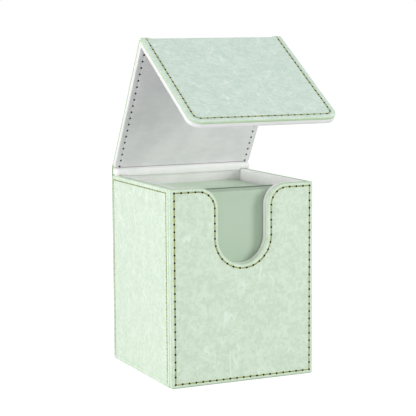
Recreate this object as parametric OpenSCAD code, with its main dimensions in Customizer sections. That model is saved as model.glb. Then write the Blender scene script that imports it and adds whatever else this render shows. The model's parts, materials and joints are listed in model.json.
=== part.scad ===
// Card deck box: a rigid board box wrapped in leather outside and microfibre inside,
// with a thumb notch in its front wall and a flip lid whose front flap folds over that wall.
// The origin is the centre of the box's footprint, on the surface it stands on. The front
// wall faces -Y. The lid is drawn part open, at the angle its leather hinge holds by itself.

/* [Box] */
// Outside width of the box
box_w = 82.7; // [70:0.1:120]
// Outside depth of the box
box_d = 82; // [70:0.1:120]
// Outside height of the box
box_h = 104; // [85:0.5:150]

/* [Walls] */
// Thickness of each outer panel: board with its leather
outer_panel = 3.1; // [2.6:0.1:4.5]
// Thickness of each inner panel: board with its lining
inner_panel = 3.1; // [2:0.1:4.5]
// Thickness of the leather
leather = 0.8; // [0.5:0.1:1.2]
// Thickness of the lining
lining = 0.6; // [0.4:0.1:1]

/* [Thumb notch] */
// Width of the notch
notch_w = 28.4; // [20:0.2:40]
// Depth of the notch below the top edge
notch_depth = 41.3; // [30:0.5:60]
// Radius of the rounded shoulders at the top of the notch
notch_shoulder = 11.5; // [5:0.5:14]

/* [Lid] */
// How far the lid stands past the box on each side
lid_overhang = 0.2; // [0:0.1:1]
// Thickness of the lid and of its flap
lid_thick = 4.1; // [3.2:0.1:6]
// Gap between the closed lid and the wall tops
lid_gap = 0.3; // [0.2:0.1:1]
// Angle of the lid above the horizontal where its hinge holds it
lid_open = 59; // [30:1:80]

/* [Flap] */
// Length of the flap, from the fold's outer corner to its end
flap_len = 77.4; // [60:0.2:84]
// Angle inside the fold between the lid and the flap where the fold holds it
flap_angle = 89; // [86:0.5:90]
// Gap between the closed flap and the front wall
flap_gap = 0.3; // [0.2:0.1:1]
// Radius of the flap's lower corners
flap_corner = 6.5; // [3:0.5:12]
// Outer radius of the leather over the fold
fold_r = 3; // [1.5:0.1:3.5]
// Distance from the fold's inner corner to the end of the boards
fold_clearance = 0.83; // [0.4:0.01:3]

/* [Magnets] */
// Diameter of the magnets
magnet_d = 12; // [8:0.5:14]
// Thickness of the magnets
magnet_t = 1; // [0.5:0.1:1.2]
// Clearance round a magnet in its pocket
magnet_clearance = 0.1; // [0.05:0.05:0.3]
// Distance between the centres of a pair of magnets
magnet_spacing = 46; // [30:1:54]
// Distance from the end of the flap to the magnets' centres
magnet_inset = 13; // [10:0.5:20]

/* [Cards] */
// Width of the sleeved cards
card_w = 68.4; // [60:0.1:70]
// Height of the cards in the main deck
deck_h = 92; // [80:0.5:93]
// Height of the sleeved cards in the front packet
packet_h = 94.3; // [80:0.1:95]
// Depth of the front packet
packet_t = 12; // [2:0.5:20]
// Height of the divider sheet
divider_h = 94.8; // [80:0.1:96]
// Thickness of the divider sheet
divider_t = 0.8; // [0.4:0.1:2]
// Play between the packets, and between them and the walls
card_play = 0.35; // [0.3:0.05:1]

/* [Hidden] */

mint = [0.83, 0.91, 0.83];
white = [0.92, 0.92, 0.92];
grey_board = [0.6, 0.58, 0.54];
steel = [0.75, 0.76, 0.78];
sleeve_green = [0.71, 0.8, 0.71];
divider_green = [0.5, 0.58, 0.5];

// Corners of the walls, measured from the centre line
side_x = box_w / 2;
front_y = -box_d / 2;
rear_y = box_d / 2;
wall = outer_panel + inner_panel;
side_panel_x = side_x - outer_panel;
cavity_x = side_x - wall;
front_joint_y = front_y + outer_panel;
rear_joint_y = rear_y - outer_panel;
cavity_front_y = front_y + wall;
cavity_rear_y = rear_y - wall;
notch_half = notch_w / 2;
notch_centre_z = box_h - notch_depth + notch_half;

// Rear hinge: a strip of leather that turns a quarter circle when the lid is flat, and an
// arc of the same length at rest. The pivot is the centre of the turn between the two.
closed_r = lid_gap + lid_thick;
strip_len = closed_r * PI / 2;
rest_turn = 90 - lid_open;
rest_r = strip_len / (rest_turn * PI / 180);
rest_end = [rest_r * (1 - cos(rest_turn)), rest_r * sin(rest_turn)];
turn_factor = 0.5 / tan(lid_open / 2);
pivot_in = (closed_r + rest_end[0]) / 2 - (rest_end[1] - closed_r) * turn_factor;
pivot_up = (closed_r + rest_end[1]) / 2 + (rest_end[0] - closed_r) * turn_factor;
pivot_y = rear_y - pivot_in;
pivot_z = box_h + pivot_up;

// The lid lies flat about the pivot in its own frame, and stops when the flap is upright
lid_x = side_x + lid_overhang;
lid_top = closed_r - pivot_up;
lid_under = lid_top - lid_thick;
lid_mid = lid_top - lid_thick / 2;
lid_start = closed_r - pivot_in;
closed_tilt = 90 - flap_angle;
fold_turn = 180 - flap_angle;
fold_margin = lid_thick * tan(fold_turn / 2) + fold_clearance;
closed_reach = box_d - pivot_in + flap_gap + lid_thick;
lid_reach = (closed_reach + lid_top * sin(closed_tilt)) / cos(closed_tilt);
lid_end = lid_reach - fold_margin;

// Flap fold: the leather keeps its length round the corner, which sets the flap's pivot
fold_inset = fold_r * (1 - (fold_turn / 2 * PI / 180) / tan(fold_turn / 2));
fold_back = fold_inset * tan(fold_turn / 2);
flap_top = fold_inset;
flap_under = flap_top - lid_thick;
flap_mid = flap_top - lid_thick / 2;
flap_start_y = fold_back - fold_margin;
flap_end_y = fold_back - flap_len;

magnet_xs = [-magnet_spacing / 2, magnet_spacing / 2];
flap_magnet_y = flap_end_y + magnet_inset;
closed_corner_z = pivot_z + lid_reach * sin(closed_tilt) + lid_top * cos(closed_tilt);
wall_magnet_z = closed_corner_z - flap_len + magnet_inset;

packet_front_y = cavity_front_y + card_play;
divider_front_y = packet_front_y + packet_t + card_play;
deck_front_y = divider_front_y + divider_t + card_play;
deck_rear_y = cavity_rear_y - card_play;

arc_steps = 10;
smooth = 64;

// A box between two opposite corners
module block(low, high) {
    translate(low) cube(high - low);
}

// A slab of one (x, z) outline, from depth y to y + thick
module upright(y, thick) {
    translate([0, y + thick, 0]) rotate([90, 0, 0]) linear_extrude(thick) children();
}

// A strip of one (y, z) outline, as wide as the lid
module across_lid() {
    rotate([90, 0, 90]) translate([0, 0, -lid_x]) linear_extrude(2 * lid_x) children();
}

module at_lid() {
    translate([0, pivot_y, pivot_z]) rotate([-lid_open, 0, 0]) children();
}

module at_flap() {
    at_lid() translate([0, fold_back - lid_reach, lid_top - fold_inset])
        rotate([fold_turn, 0, 0]) children();
}

// The thumb notch, grown on every side by grow where a cover wraps round its edge
module notch_outline(grow) {
    half = notch_half + grow;
    shoulder = notch_shoulder - grow;
    shoulder_x = notch_half + notch_shoulder;
    shoulder_z = box_h - notch_shoulder;
    translate([0, notch_centre_z]) circle(r = half, $fn = smooth);
    translate([-half, notch_centre_z]) square([2 * half, box_h - notch_centre_z + 1]);
    difference() {
        translate([-shoulder_x, shoulder_z]) square([2 * shoulder_x, notch_shoulder + 1]);
        for (side = [-1, 1]) translate([side * shoulder_x, shoulder_z]) circle(r = shoulder, $fn = smooth);
    }
}

// The front panels, drawn in by inset on every side
module front_outline(half_width, bottom, inset) {
    difference() {
        translate([-half_width + inset, bottom + inset])
            square([2 * (half_width - inset), box_h - bottom - 2 * inset]);
        notch_outline(inset);
    }
}

module front_cover() {
    color(mint) difference() {
        upright(front_y, outer_panel) front_outline(side_x, 0, 0);
        upright(front_y + leather, outer_panel) front_outline(side_x, 0, leather);
    }
}

module front_board() {
    color(grey_board) difference() {
        upright(front_y + leather, outer_panel - leather) front_outline(side_x, 0, leather);
        for (x = magnet_xs) translate([x, front_y + leather + magnet_t, wall_magnet_z])
            rotate([90, 0, 0]) cylinder(h = magnet_t + 1, r = magnet_d / 2 + magnet_clearance, $fn = smooth);
    }
}

module wall_magnets() {
    color(steel) for (x = magnet_xs) translate([x, front_y + leather + magnet_t, wall_magnet_z])
        rotate([90, 0, 0]) cylinder(h = magnet_t, r = magnet_d / 2, $fn = smooth);
}

module front_lining() {
    color(white) difference() {
        upright(front_joint_y, inner_panel) front_outline(side_panel_x, outer_panel, 0);
        upright(front_joint_y - lining, inner_panel) front_outline(side_panel_x, outer_panel, lining);
    }
}

module front_inner_board() {
    color(grey_board) upright(front_joint_y, inner_panel - lining)
        front_outline(side_panel_x, outer_panel, lining);
}

// The rear leather is flat to the top, where it runs on into the hinge
module rear_cover() {
    color(mint) {
        block([-side_x, rear_y - leather, 0], [side_x, rear_y, box_h]);
        block([-side_panel_x, rear_joint_y, 0], [side_panel_x, rear_y - leather, leather]);
    }
}

module rear_board() {
    color(grey_board) block([-side_panel_x, rear_joint_y, leather],
                            [side_panel_x, rear_y - leather, box_h]);
}

module rear_lining() {
    color(white) difference() {
        block([-side_panel_x, cavity_rear_y, outer_panel], [side_panel_x, rear_joint_y, box_h]);
        block([-side_panel_x + lining, cavity_rear_y + lining, outer_panel + lining],
              [side_panel_x - lining, rear_joint_y + 1, box_h + 1]);
    }
}

module rear_inner_board() {
    color(grey_board) block([-side_panel_x + lining, cavity_rear_y + lining, outer_panel + lining],
                            [side_panel_x - lining, rear_joint_y, box_h]);
}

// The left side panels; the right ones are their mirror image
module side_cover() {
    color(mint) difference() {
        block([-side_x, front_joint_y, 0], [-side_panel_x, rear_y - leather, box_h]);
        block([-side_x + leather, front_joint_y + leather, leather],
              [-side_panel_x + 1, rear_y - 2 * leather, box_h - leather]);
    }
}

module side_board() {
    color(grey_board) block([-side_x + leather, front_joint_y + leather, leather],
                            [-side_panel_x, rear_y - 2 * leather, box_h - leather]);
}

module side_lining() {
    color(white) difference() {
        block([-side_panel_x, cavity_front_y, outer_panel], [-cavity_x, cavity_rear_y, box_h]);
        block([-side_panel_x - 1, cavity_front_y + lining, outer_panel + lining],
              [-cavity_x - lining, cavity_rear_y - lining, box_h - lining]);
    }
}

module side_inner_board() {
    color(grey_board) block([-side_panel_x, cavity_front_y + lining, outer_panel + lining],
                            [-cavity_x - lining, cavity_rear_y - lining, box_h - lining]);
}

module base_cover() {
    color(mint) block([-side_panel_x, front_joint_y, 0], [side_panel_x, rear_joint_y, leather]);
}

module base_board() {
    color(grey_board) block([-side_panel_x, front_joint_y, leather],
                            [side_panel_x, rear_joint_y, outer_panel]);
}

module base_inner_board() {
    color(grey_board) block([-cavity_x, cavity_front_y, outer_panel],
                            [cavity_x, cavity_rear_y, wall - lining]);
}

module base_lining() {
    color(white) block([-cavity_x, cavity_front_y, wall - lining], [cavity_x, cavity_rear_y, wall]);
}

// A point of the lid's own frame, u towards the fold and n up, as (y, z) of the box
function lid_point(u, n) = [pivot_y - u * cos(lid_open) + n * sin(lid_open),
                            pivot_z + u * sin(lid_open) + n * cos(lid_open)];

module rear_hinge_leather() {
    centre_y = rear_y - rest_r;
    outer = [for (i = [0:arc_steps]) let (t = rest_turn * i / arc_steps)
        [centre_y + rest_r * cos(t), box_h + rest_r * sin(t)]];
    inner = [for (i = [arc_steps:-1:0]) let (t = rest_turn * i / arc_steps, r = rest_r - leather)
        [centre_y + r * cos(t), box_h + r * sin(t)]];
    color(mint) across_lid() polygon(concat(outer, inner));
}

// The lining over the wall top is slack at rest, so it stands out in a low roll
module rear_hinge_lining() {
    roll = lining;
    low = [[cavity_rear_y, box_h], [cavity_rear_y + lining, box_h]];
    high = [lid_point(lid_start, lid_under), lid_point(lid_start, lid_under + lining)];
    face = [for (i = [0:arc_steps]) let (t = i / arc_steps)
        low[0] + (high[0] - low[0]) * t - [roll * sin(180 * t), 0]];
    back = [for (i = [arc_steps:-1:0]) let (t = i / arc_steps)
        low[1] + (high[1] - low[1]) * t - [roll * sin(180 * t), 0]];
    color(white) across_lid() polygon(concat(face, back));
}

module lid_cover() {
    color(mint) at_lid() difference() {
        block([-lid_x, -lid_end, lid_mid], [lid_x, -lid_start, lid_top]);
        block([-lid_x + leather, -lid_end - 1, lid_mid - 1], [lid_x - leather, -lid_start + 1, lid_top - leather]);
    }
}

module lid_board() {
    color(grey_board) at_lid() block([-lid_x + leather, -lid_end, lid_mid],
                                     [lid_x - leather, -lid_start, lid_top - leather]);
}

module lid_lining() {
    color(white) at_lid() difference() {
        block([-lid_x, -lid_end, lid_under], [lid_x, -lid_start, lid_mid]);
        block([-lid_x + lining, -lid_end - 1, lid_under + lining], [lid_x - lining, -lid_start + 1, lid_mid + 1]);
    }
}

module lid_inner_board() {
    color(grey_board) at_lid() block([-lid_x + lining, -lid_end, lid_under + lining],
                                     [lid_x - lining, -lid_start, lid_mid]);
}

// The fold between lid and flap, as a strip of the lid's frame (y, z) at rest
module fold_strip(colour, outer_depth, thick, radius) {
    tangent = radius * tan(fold_turn / 2);
    back = outer_depth * tan(fold_turn / 2);
    along = [-cos(fold_turn), -sin(fold_turn)];
    inward = [sin(fold_turn), -cos(fold_turn)];
    corner = [-lid_reach, lid_top];
    centre = [-(lid_reach - back - tangent), lid_top - outer_depth - radius];
    outer = concat([[-lid_end, lid_top - outer_depth]],
        [for (i = [0:arc_steps]) let (t = 90 + fold_turn * i / arc_steps) centre + radius * [cos(t), sin(t)]],
        [corner + fold_margin * along + outer_depth * inward]);
    inner_radius = max(radius - thick, 0);
    inner_depth = outer_depth + thick;
    inner_back = inner_depth * tan(fold_turn / 2);
    inner_centre = [-(lid_reach - inner_back - inner_radius * tan(fold_turn / 2)),
                    lid_top - inner_depth - inner_radius];
    inner_arc = inner_radius > 0
        ? [for (i = [arc_steps:-1:0]) let (t = 90 + fold_turn * i / arc_steps)
            inner_centre + inner_radius * [cos(t), sin(t)]]
        : [inner_centre];
    inner = concat([corner + fold_margin * along + inner_depth * inward], inner_arc,
        [[-lid_end, lid_top - inner_depth]]);
    color(colour) at_lid() across_lid() polygon(concat(outer, inner));
}

module flap_hinge_leather() {
    fold_strip(mint, 0, leather, fold_r);
}

module flap_hinge_lining() {
    fold_strip(white, lid_thick - lining, lining, lining / 2);
}

// The flap's outline with round lower corners, drawn in by inset on its three free edges
module flap_outline(inset) {
    half = lid_x - inset;
    low = flap_end_y + inset;
    round_r = flap_corner - inset;
    translate([-half, low + round_r]) square([2 * half, flap_start_y - low - round_r]);
    translate([-half + round_r, low]) square([2 * (half - round_r), round_r + 1]);
    for (side = [-1, 1]) translate([side * (half - round_r), low + round_r])
        circle(r = round_r, $fn = smooth);
}

module flap_cover() {
    color(mint) at_flap() difference() {
        translate([0, 0, flap_mid]) linear_extrude(lid_thick / 2) flap_outline(0);
        translate([0, 0, flap_mid - leather]) linear_extrude(lid_thick / 2) union() {
            flap_outline(leather);
            translate([-lid_x + leather, flap_start_y - 1]) square([2 * (lid_x - leather), 2]);
        }
    }
}

module flap_board() {
    color(grey_board) at_flap() translate([0, 0, flap_mid])
        linear_extrude(lid_thick / 2 - leather) flap_outline(leather);
}

module flap_lining() {
    color(white) at_flap() difference() {
        translate([0, 0, flap_under]) linear_extrude(lid_thick / 2) flap_outline(0);
        translate([0, 0, flap_under + lining]) linear_extrude(lid_thick / 2) union() {
            flap_outline(lining);
            translate([-lid_x + lining, flap_start_y - 1]) square([2 * (lid_x - lining), 2]);
        }
    }
}

module flap_inner_board() {
    color(grey_board) at_flap() difference() {
        translate([0, 0, flap_under + lining]) linear_extrude(lid_thick / 2 - lining) flap_outline(lining);
        for (x = magnet_xs) translate([x, flap_magnet_y, flap_under + lining - 1])
            cylinder(h = magnet_t + 1, r = magnet_d / 2 + magnet_clearance, $fn = smooth);
    }
}

module flap_magnets() {
    color(steel) at_flap() for (x = magnet_xs) translate([x, flap_magnet_y, flap_under + lining])
        cylinder(h = magnet_t, r = magnet_d / 2, $fn = smooth);
}

// A squared block of cards standing on the base
module card_block(front, rear, height) {
    block([-card_w / 2, front, wall], [card_w / 2, rear, wall + height]);
}

module front_packet() {
    color(sleeve_green) card_block(packet_front_y, packet_front_y + packet_t, packet_h);
}

module deck_divider() {
    color(divider_green) card_block(divider_front_y, divider_front_y + divider_t, divider_h);
}

module main_deck() {
    color(sleeve_green) card_block(deck_front_y, deck_rear_y, deck_h);
}

front_cover();
front_board();
front_inner_board();
front_lining();
rear_cover();
rear_board();
rear_inner_board();
rear_lining();
side_cover();  // left_cover
side_board();  // left_board
side_inner_board();  // left_inner_board
side_lining();  // left_lining
mirror([1, 0, 0]) side_cover();  // right_cover
mirror([1, 0, 0]) side_board();  // right_board
mirror([1, 0, 0]) side_inner_board();  // right_inner_board
mirror([1, 0, 0]) side_lining();  // right_lining
base_cover();
base_board();
base_inner_board();
base_lining();
wall_magnets();
rear_hinge_leather();
rear_hinge_lining();
lid_cover();
lid_board();
lid_inner_board();
lid_lining();
flap_hinge_leather();
flap_hinge_lining();
flap_cover();
flap_board();
flap_inner_board();
flap_lining();
flap_magnets();
front_packet();
deck_divider();
main_deck();
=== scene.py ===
import json
import math

import bmesh
import bpy
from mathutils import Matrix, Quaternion, Vector


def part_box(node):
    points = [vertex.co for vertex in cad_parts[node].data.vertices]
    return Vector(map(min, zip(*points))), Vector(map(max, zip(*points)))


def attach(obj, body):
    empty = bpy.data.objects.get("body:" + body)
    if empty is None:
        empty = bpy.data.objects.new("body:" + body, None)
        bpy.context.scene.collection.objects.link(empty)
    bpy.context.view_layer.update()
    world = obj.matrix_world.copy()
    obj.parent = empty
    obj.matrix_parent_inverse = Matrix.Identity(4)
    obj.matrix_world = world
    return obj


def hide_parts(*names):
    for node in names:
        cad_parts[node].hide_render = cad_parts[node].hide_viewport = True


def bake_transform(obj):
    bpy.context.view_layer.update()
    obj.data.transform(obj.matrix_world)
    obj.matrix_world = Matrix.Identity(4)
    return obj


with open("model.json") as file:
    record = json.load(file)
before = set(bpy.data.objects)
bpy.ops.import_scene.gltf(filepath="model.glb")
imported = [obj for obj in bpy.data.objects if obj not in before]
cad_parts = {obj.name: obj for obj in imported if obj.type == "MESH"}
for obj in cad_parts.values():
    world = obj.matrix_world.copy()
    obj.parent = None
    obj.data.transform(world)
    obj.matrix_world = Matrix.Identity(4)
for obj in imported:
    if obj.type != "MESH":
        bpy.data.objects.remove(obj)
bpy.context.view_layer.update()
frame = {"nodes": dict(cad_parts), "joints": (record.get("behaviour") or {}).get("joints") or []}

# ---------------------------------------------------------------------------------------
# Front wall, outside. Greyboard wrapped in pale mint coated leather with a crackled, waxy
# grain. The leather is turned over the board's edges and follows the thumb notch.
# ---------------------------------------------------------------------------------------
MM = 0.001


def size_of(node):
    """The lowest and highest corner of a node, in millimetres."""
    low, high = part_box(node)
    return low / MM, high / MM


front_low, front_high = size_of("front_cover")
side_x = front_high.x
front_y = front_low.y
front_joint_y = front_high.y
box_h = front_high.z
leather = size_of("base_cover")[1].z
notch_half = 14.2
notch_depth = 41.3
notch_shoulder = 11.5
notch_centre_z = box_h - notch_depth + notch_half


def tree_sockets(tree, sockets, way="INPUT"):
    """Gives a node tree its named sockets, and returns their identifiers by name."""
    names = {}
    for label, sort, value in sockets:
        made = tree.interface.new_socket(name=label, in_out=way, socket_type="NodeSocket" + sort)
        if value is not None:
            made.default_value = value
        names[label] = made.identifier
    return names


def paint_group(name, *inputs):
    """A shader group that takes a place and its own inputs, and gives a surface."""
    group = bpy.data.node_groups.new(name, "ShaderNodeTree")
    tree_sockets(group, (("Where", "Vector", None),) + inputs)
    tree_sockets(group, (("Colour", "Color", None), ("Height", "Float", None), ("Roughness", "Float", None)),
                 "OUTPUT")
    return group, group.nodes.new("NodeGroupInput").outputs


def give_surface(group, tint, height, rough):
    """Ends a shader group with its colour, its height and its roughness."""
    result = group.nodes.new("NodeGroupOutput")
    for socket, value in zip(result.inputs, (tint, height, rough)):
        group.links.new(value, socket)
    return group


def add_node(tree, kind, settings=None, **sockets):
    """A node with its settings. A socket takes a value, or another node's output."""
    made = tree.nodes.new(kind)
    for key, value in (settings or {}).items():
        setattr(made, key, value)
    for key, value in sockets.items():
        socket = made.inputs[int(key[1:])] if key[0] == "_" else made.inputs[key.replace("_", " ")]
        if isinstance(value, bpy.types.NodeSocket):
            tree.links.new(value, socket)
        else:
            socket.default_value = value
    return made


def do_maths(tree, operation, a, b=0.0, clamp=False):
    return add_node(tree, "ShaderNodeMath", {"operation": operation, "use_clamp": clamp}, _0=a, _1=b).outputs[0]


def weigh(tree, *pairs):
    """The sum of some values, each times its weight."""
    total = None
    for value, weight in pairs:
        part = do_maths(tree, "MULTIPLY", value, weight)
        total = do_maths(tree, "ADD", total, part) if total else part
    return total


def blend_colours(tree, factor, a, b):
    return add_node(tree, "ShaderNodeMix", {"data_type": "RGBA"}, _0=factor, _6=a, _7=b).outputs[2]


def fade(tree, value, low, high, start=0.0, end=1.0):
    """Value between low and high, brought to start and end along a smooth slope."""
    made = add_node(tree, "ShaderNodeMapRange", {"interpolation_type": "SMOOTHSTEP"},
                    _0=value, _1=low, _2=high, _3=start, _4=end)
    return made.outputs[0]


def cloud(tree, where, scale, detail=2.0, rough=0.5, twist=0.0):
    return add_node(tree, "ShaderNodeTexNoise", None, Vector=where, Scale=scale, Detail=detail, Roughness=rough,
                    Distortion=twist).outputs[0]


def stretched(tree, where, by):
    return add_node(tree, "ShaderNodeVectorMath", {"operation": "MULTIPLY"}, _0=where, _1=by).outputs[0]


def colour(red, green, blue):
    """A colour from its screen values, 0 to 255."""
    parts = [c / 255 for c in (red, green, blue)]
    return tuple(c / 12.92 if c <= 0.04045 else ((c + 0.055) / 1.055) ** 2.4 for c in parts) + (1.0,)


def level_lines(tree, where, stretch, scale, width):
    """Thin curves where a noise passes through its middle value."""
    noise = cloud(tree, stretched(tree, where, stretch), scale, 1.5, 0.4, 0.6)
    off = do_maths(tree, "ABSOLUTE", do_maths(tree, "SUBTRACT", noise, 0.5))
    return fade(tree, off, 0.0, width, 1.0, 0.0)


def make_crackled_leather():
    """Clouded colour, pale wax cracks and fine pores, greener and darker towards a turned edge and in a seam's trough:
    a green edge tone with painted shade.
    """
    group, given = paint_group(
        "crackled_leather", ("Edge Distance", "Float", 10.0), ("Pale", "Color", None), ("Deep", "Color", None),
        ("Crack", "Color", None), ("Edge", "Color", None), ("Edge Width", "Float", 1.6),
        ("Cloud Size", "Float", 7.0))
    where = given["Where"]
    broad = cloud(group, where, do_maths(group, "DIVIDE", 1000.0, given["Cloud Size"]), 5.0, 0.68)
    mottle = cloud(group, where, 480.0, 2.0, 0.7)
    tone = weigh(group, (broad, 0.42), (mottle, 0.58))
    base = blend_colours(group, fade(group, tone, 0.39, 0.61), given["Deep"], given["Pale"])
    # Scuffs: thin level lines of a slow noise, broken up so that only short lengths show
    breaks = cloud(group, where, 105.0, 3.0, 0.6)
    scuffs = level_lines(group, where, (1.0, 1.0, 0.45), 70.0, 0.015)
    squiggles = level_lines(group, where, (1.0, 1.0, 1.0), 210.0, 0.035)
    pale_marks = do_maths(
        group, "ADD", do_maths(group, "MULTIPLY", scuffs, fade(group, breaks, 0.46, 0.62, 0.0, 0.9)),
        do_maths(group, "MULTIPLY", squiggles, fade(group, broad, 0.49, 0.64, 0.0, 0.75)), clamp=True)
    base = blend_colours(group, pale_marks, base, given["Crack"])
    # Greener and darker on rounded edges and in seam troughs and creases: partly the edge's own green tone, partly
    # painted shade
    near_edge = fade(group, given["Edge Distance"], 0.15, given["Edge Width"], 1.0, 0.0)
    edge_tint_and_shade = do_maths(group, "MULTIPLY", near_edge, fade(group, breaks, 0.3, 0.6, 0.7, 1.0))
    base = blend_colours(group, edge_tint_and_shade, base, given["Edge"])
    pores = cloud(group, where, 1700.0, 2.0, 0.55)
    grain = add_node(group, "ShaderNodeTexVoronoi", {"feature": "F1"}, Vector=where, Scale=1100.0)
    height = weigh(group, (pores, 0.35), (grain.outputs["Distance"], 0.25), (pale_marks, -0.35))
    return give_surface(group, base, height, fade(group, tone, 0.35, 0.65, 0.62, 0.5))


def material_with(name, group, values, bump, distance, settings, reads=("edge", "Edge Distance")):
    """A material: its group reads one attribute of the mesh, and gives its shader a surface."""
    made = bpy.data.materials.new(name)
    made.use_nodes = True
    tree = made.node_tree
    shader = tree.nodes["Principled BSDF"]
    coords = add_node(tree, "ShaderNodeTexCoord")
    used = add_node(tree, "ShaderNodeGroup", {"node_tree": group})
    tree.links.new(coords.outputs["Object"], used.inputs["Where"])
    if reads:
        read = add_node(tree, "ShaderNodeAttribute", {"attribute_name": reads[0]})
        tree.links.new(read.outputs["Fac"], used.inputs[reads[1]])
    for key, value in values.items():
        used.inputs[key].default_value = value
    relief = add_node(tree, "ShaderNodeBump", None, Strength=bump, Distance=distance, Height=used.outputs["Height"])
    tree.links.new(used.outputs["Colour"], shader.inputs["Base Color"])
    tree.links.new(used.outputs["Roughness"], shader.inputs["Roughness"])
    tree.links.new(relief.outputs[0], shader.inputs["Normal"])
    for key, value in settings.items():
        shader.inputs[key].default_value = value
    return made


crackled_leather = make_crackled_leather()


def leather_finish(name, pale, deep, crack, edge):
    return material_with(
        name, crackled_leather,
        {"Pale": colour(*pale), "Deep": colour(*deep), "Crack": colour(*crack), "Edge": colour(*edge)},
        0.25, 0.0002, {"Specular IOR Level": 0.28, "Sheen Weight": 0.05, "Sheen Roughness": 0.5})


box_leather = leather_finish("box_leather", (218, 233, 214), (205, 222, 201), (229, 241, 227), (166, 196, 148))


def new_object(name, data):
    made = bpy.data.objects.new(name, data)
    bpy.context.scene.collection.objects.link(made)
    return made


def arc(centre_a, centre_b, radius, start, end, steps):
    """Points of an arc, angles in degrees."""
    made = []
    for i in range(steps + 1):
        angle = math.radians(start + (end - start) * i / steps)
        made.append((centre_a + radius * math.cos(angle), centre_b + radius * math.sin(angle)))
    return made


def square_corner(a, b, turn_a, turn_b, inset, radius, start):
    """One outer corner of a panel, turned by radius and drawn in by inset."""
    keep = max(radius, inset)
    return arc(a + turn_a * keep, b + turn_b * keep, keep - inset, start, start + 90, 4)


def front_outline(inset, half_width=side_x, bottom=0.0, corner=0.9):
    """The front panel's (x, z) outline with its thumb notch, drawn in by inset."""
    notch = notch_half + inset
    shoulder_x, shoulder_z = notch_half + notch_shoulder, box_h - notch_shoulder
    shoulder = notch_shoulder - inset
    return (square_corner(-half_width, bottom, 1, 1, inset, corner, 180)
            + square_corner(half_width, bottom, -1, 1, inset, corner, 270)
            + square_corner(half_width, box_h, -1, -1, inset, corner, 0)
            + arc(shoulder_x, shoulder_z, shoulder, 90, 180, 12)
            + arc(0, notch_centre_z, notch, 0, -180, 28)
            + arc(-shoulder_x, shoulder_z, shoulder, 0, 90, 12)
            + square_corner(-half_width, box_h, 1, -1, inset, corner, 90))


def face_profile(edge_r, seam=0.0, trough=0.2, crease=0.07, side_tone=1.8):
    """(inset, depth, distance from an edge) from a panel's side, over its rounded edge and its seam's trough."""
    made = []
    for step in range(7):
        turn = math.radians(15 * step)
        tone = side_tone + (0.7 - side_tone) * step / 3 if step < 3 else 0.7 + 1.5 * (step - 3) / 3
        made.append((edge_r * (1 - math.cos(turn)), edge_r * (1 - math.sin(turn)), tone))
    if seam:
        made += [(seam - 0.6, 0, 2.2), (seam - 0.3, trough * 0.6, 1.3), (seam, trough, 1.0),
                 (seam + 0.3, trough * 0.6, 1.3), (seam + 0.6, 0, 2.2), (seam + 1.1, 0, 3.0),
                 (seam + 1.35, crease, 1.5), (seam + 1.6, 0, 3.0)]
    inset = made[-1][0]
    return made + [(inset + 0.4, 0, 4.0), (inset + 0.8, 0, 6.0)]


def wrapped_profile(depth, skin_t, edge_r, rim_r, seam=0.0):
    """A skin wrapped over a board: its inside, its rim round the board, and its face."""
    rim = []
    for step in range(4):
        turn = math.radians(30 * step)
        rim.append((rim_r * (1 - math.sin(turn)), depth - rim_r * (1 - math.cos(turn)), 0.1 * step))
    return ([(skin_t, skin_t, 0), (skin_t, depth, 0)] + rim + [(0, depth - rim_r - 0.5, 1.8)]
            + face_profile(edge_r, seam))


def close_skin(work, name, finish, sharp=38):
    """Closes, smooths and names a mesh made in millimetres."""
    bmesh.ops.remove_doubles(work, verts=work.verts, dist=1e-6)
    bmesh.ops.dissolve_degenerate(work, dist=1e-7, edges=work.edges)
    bmesh.ops.triangulate(work, faces=[f for f in work.faces if len(f.verts) > 4])
    bmesh.ops.recalc_face_normals(work, faces=work.faces)
    mesh = bpy.data.meshes.new(name)
    work.to_mesh(mesh)
    work.free()
    mesh.materials.append(finish)
    mesh.polygons.foreach_set("use_smooth", [True] * len(mesh.polygons))
    mesh.set_sharp_from_angle(angle=math.radians(sharp))
    return new_object(name, mesh)


def add_rings(work, rings):
    """Joins rings of (point, distance from the edge) into one closed shell."""
    layer = work.verts.layers.float.get("edge") or work.verts.layers.float.new("edge")
    rows = []
    for ring in rings:
        row = []
        for point, inset in ring:
            vert = work.verts.new(Vector(point) * MM)
            vert[layer] = inset
            row.append(vert)
        rows.append(row)
    for a, b in zip(rows, rows[1:]):
        for i in range(len(a)):
            j = (i + 1) % len(a)
            work.faces.new((a[i], a[j], b[j], b[i]))
    work.faces.new(rows[0][::-1])
    work.faces.new(rows[-1])


def panel_rings(outline, profile, place):
    """The rings of a panel: its outline at each inset of the profile, put in place at each depth."""
    return [[(place(a, b, depth), tone) for a, b in outline(inset)] for inset, depth, tone in profile]


def make_panel(name, outline, profile, place, finish, body, node):
    work = bmesh.new()
    add_rings(work, panel_rings(outline, profile, place))
    return fit_piece(close_skin(work, name, finish), body, node)


def fit_piece(piece, body, node):
    """Fixes a finished piece to its body, in place of its node."""
    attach(piece, body)
    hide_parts(node)
    return piece


front_seam_inset = 2.15
make_panel("front_wall_leather", front_outline,
           wrapped_profile(front_joint_y - front_y, leather, 1.1, 0.5, front_seam_inset),
           lambda a, b, depth: (a, front_y + depth, b), box_leather, "box", "front_cover")

# ---------------------------------------------------------------------------------------
# The front wall's seam. Waxed olive thread in a saddle stitch, set into a pressed trough,
# with a punched hole at each end of each stitch, a near-black disc of painted shade.
# ---------------------------------------------------------------------------------------
stitch_pitch = 4.0


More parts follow.
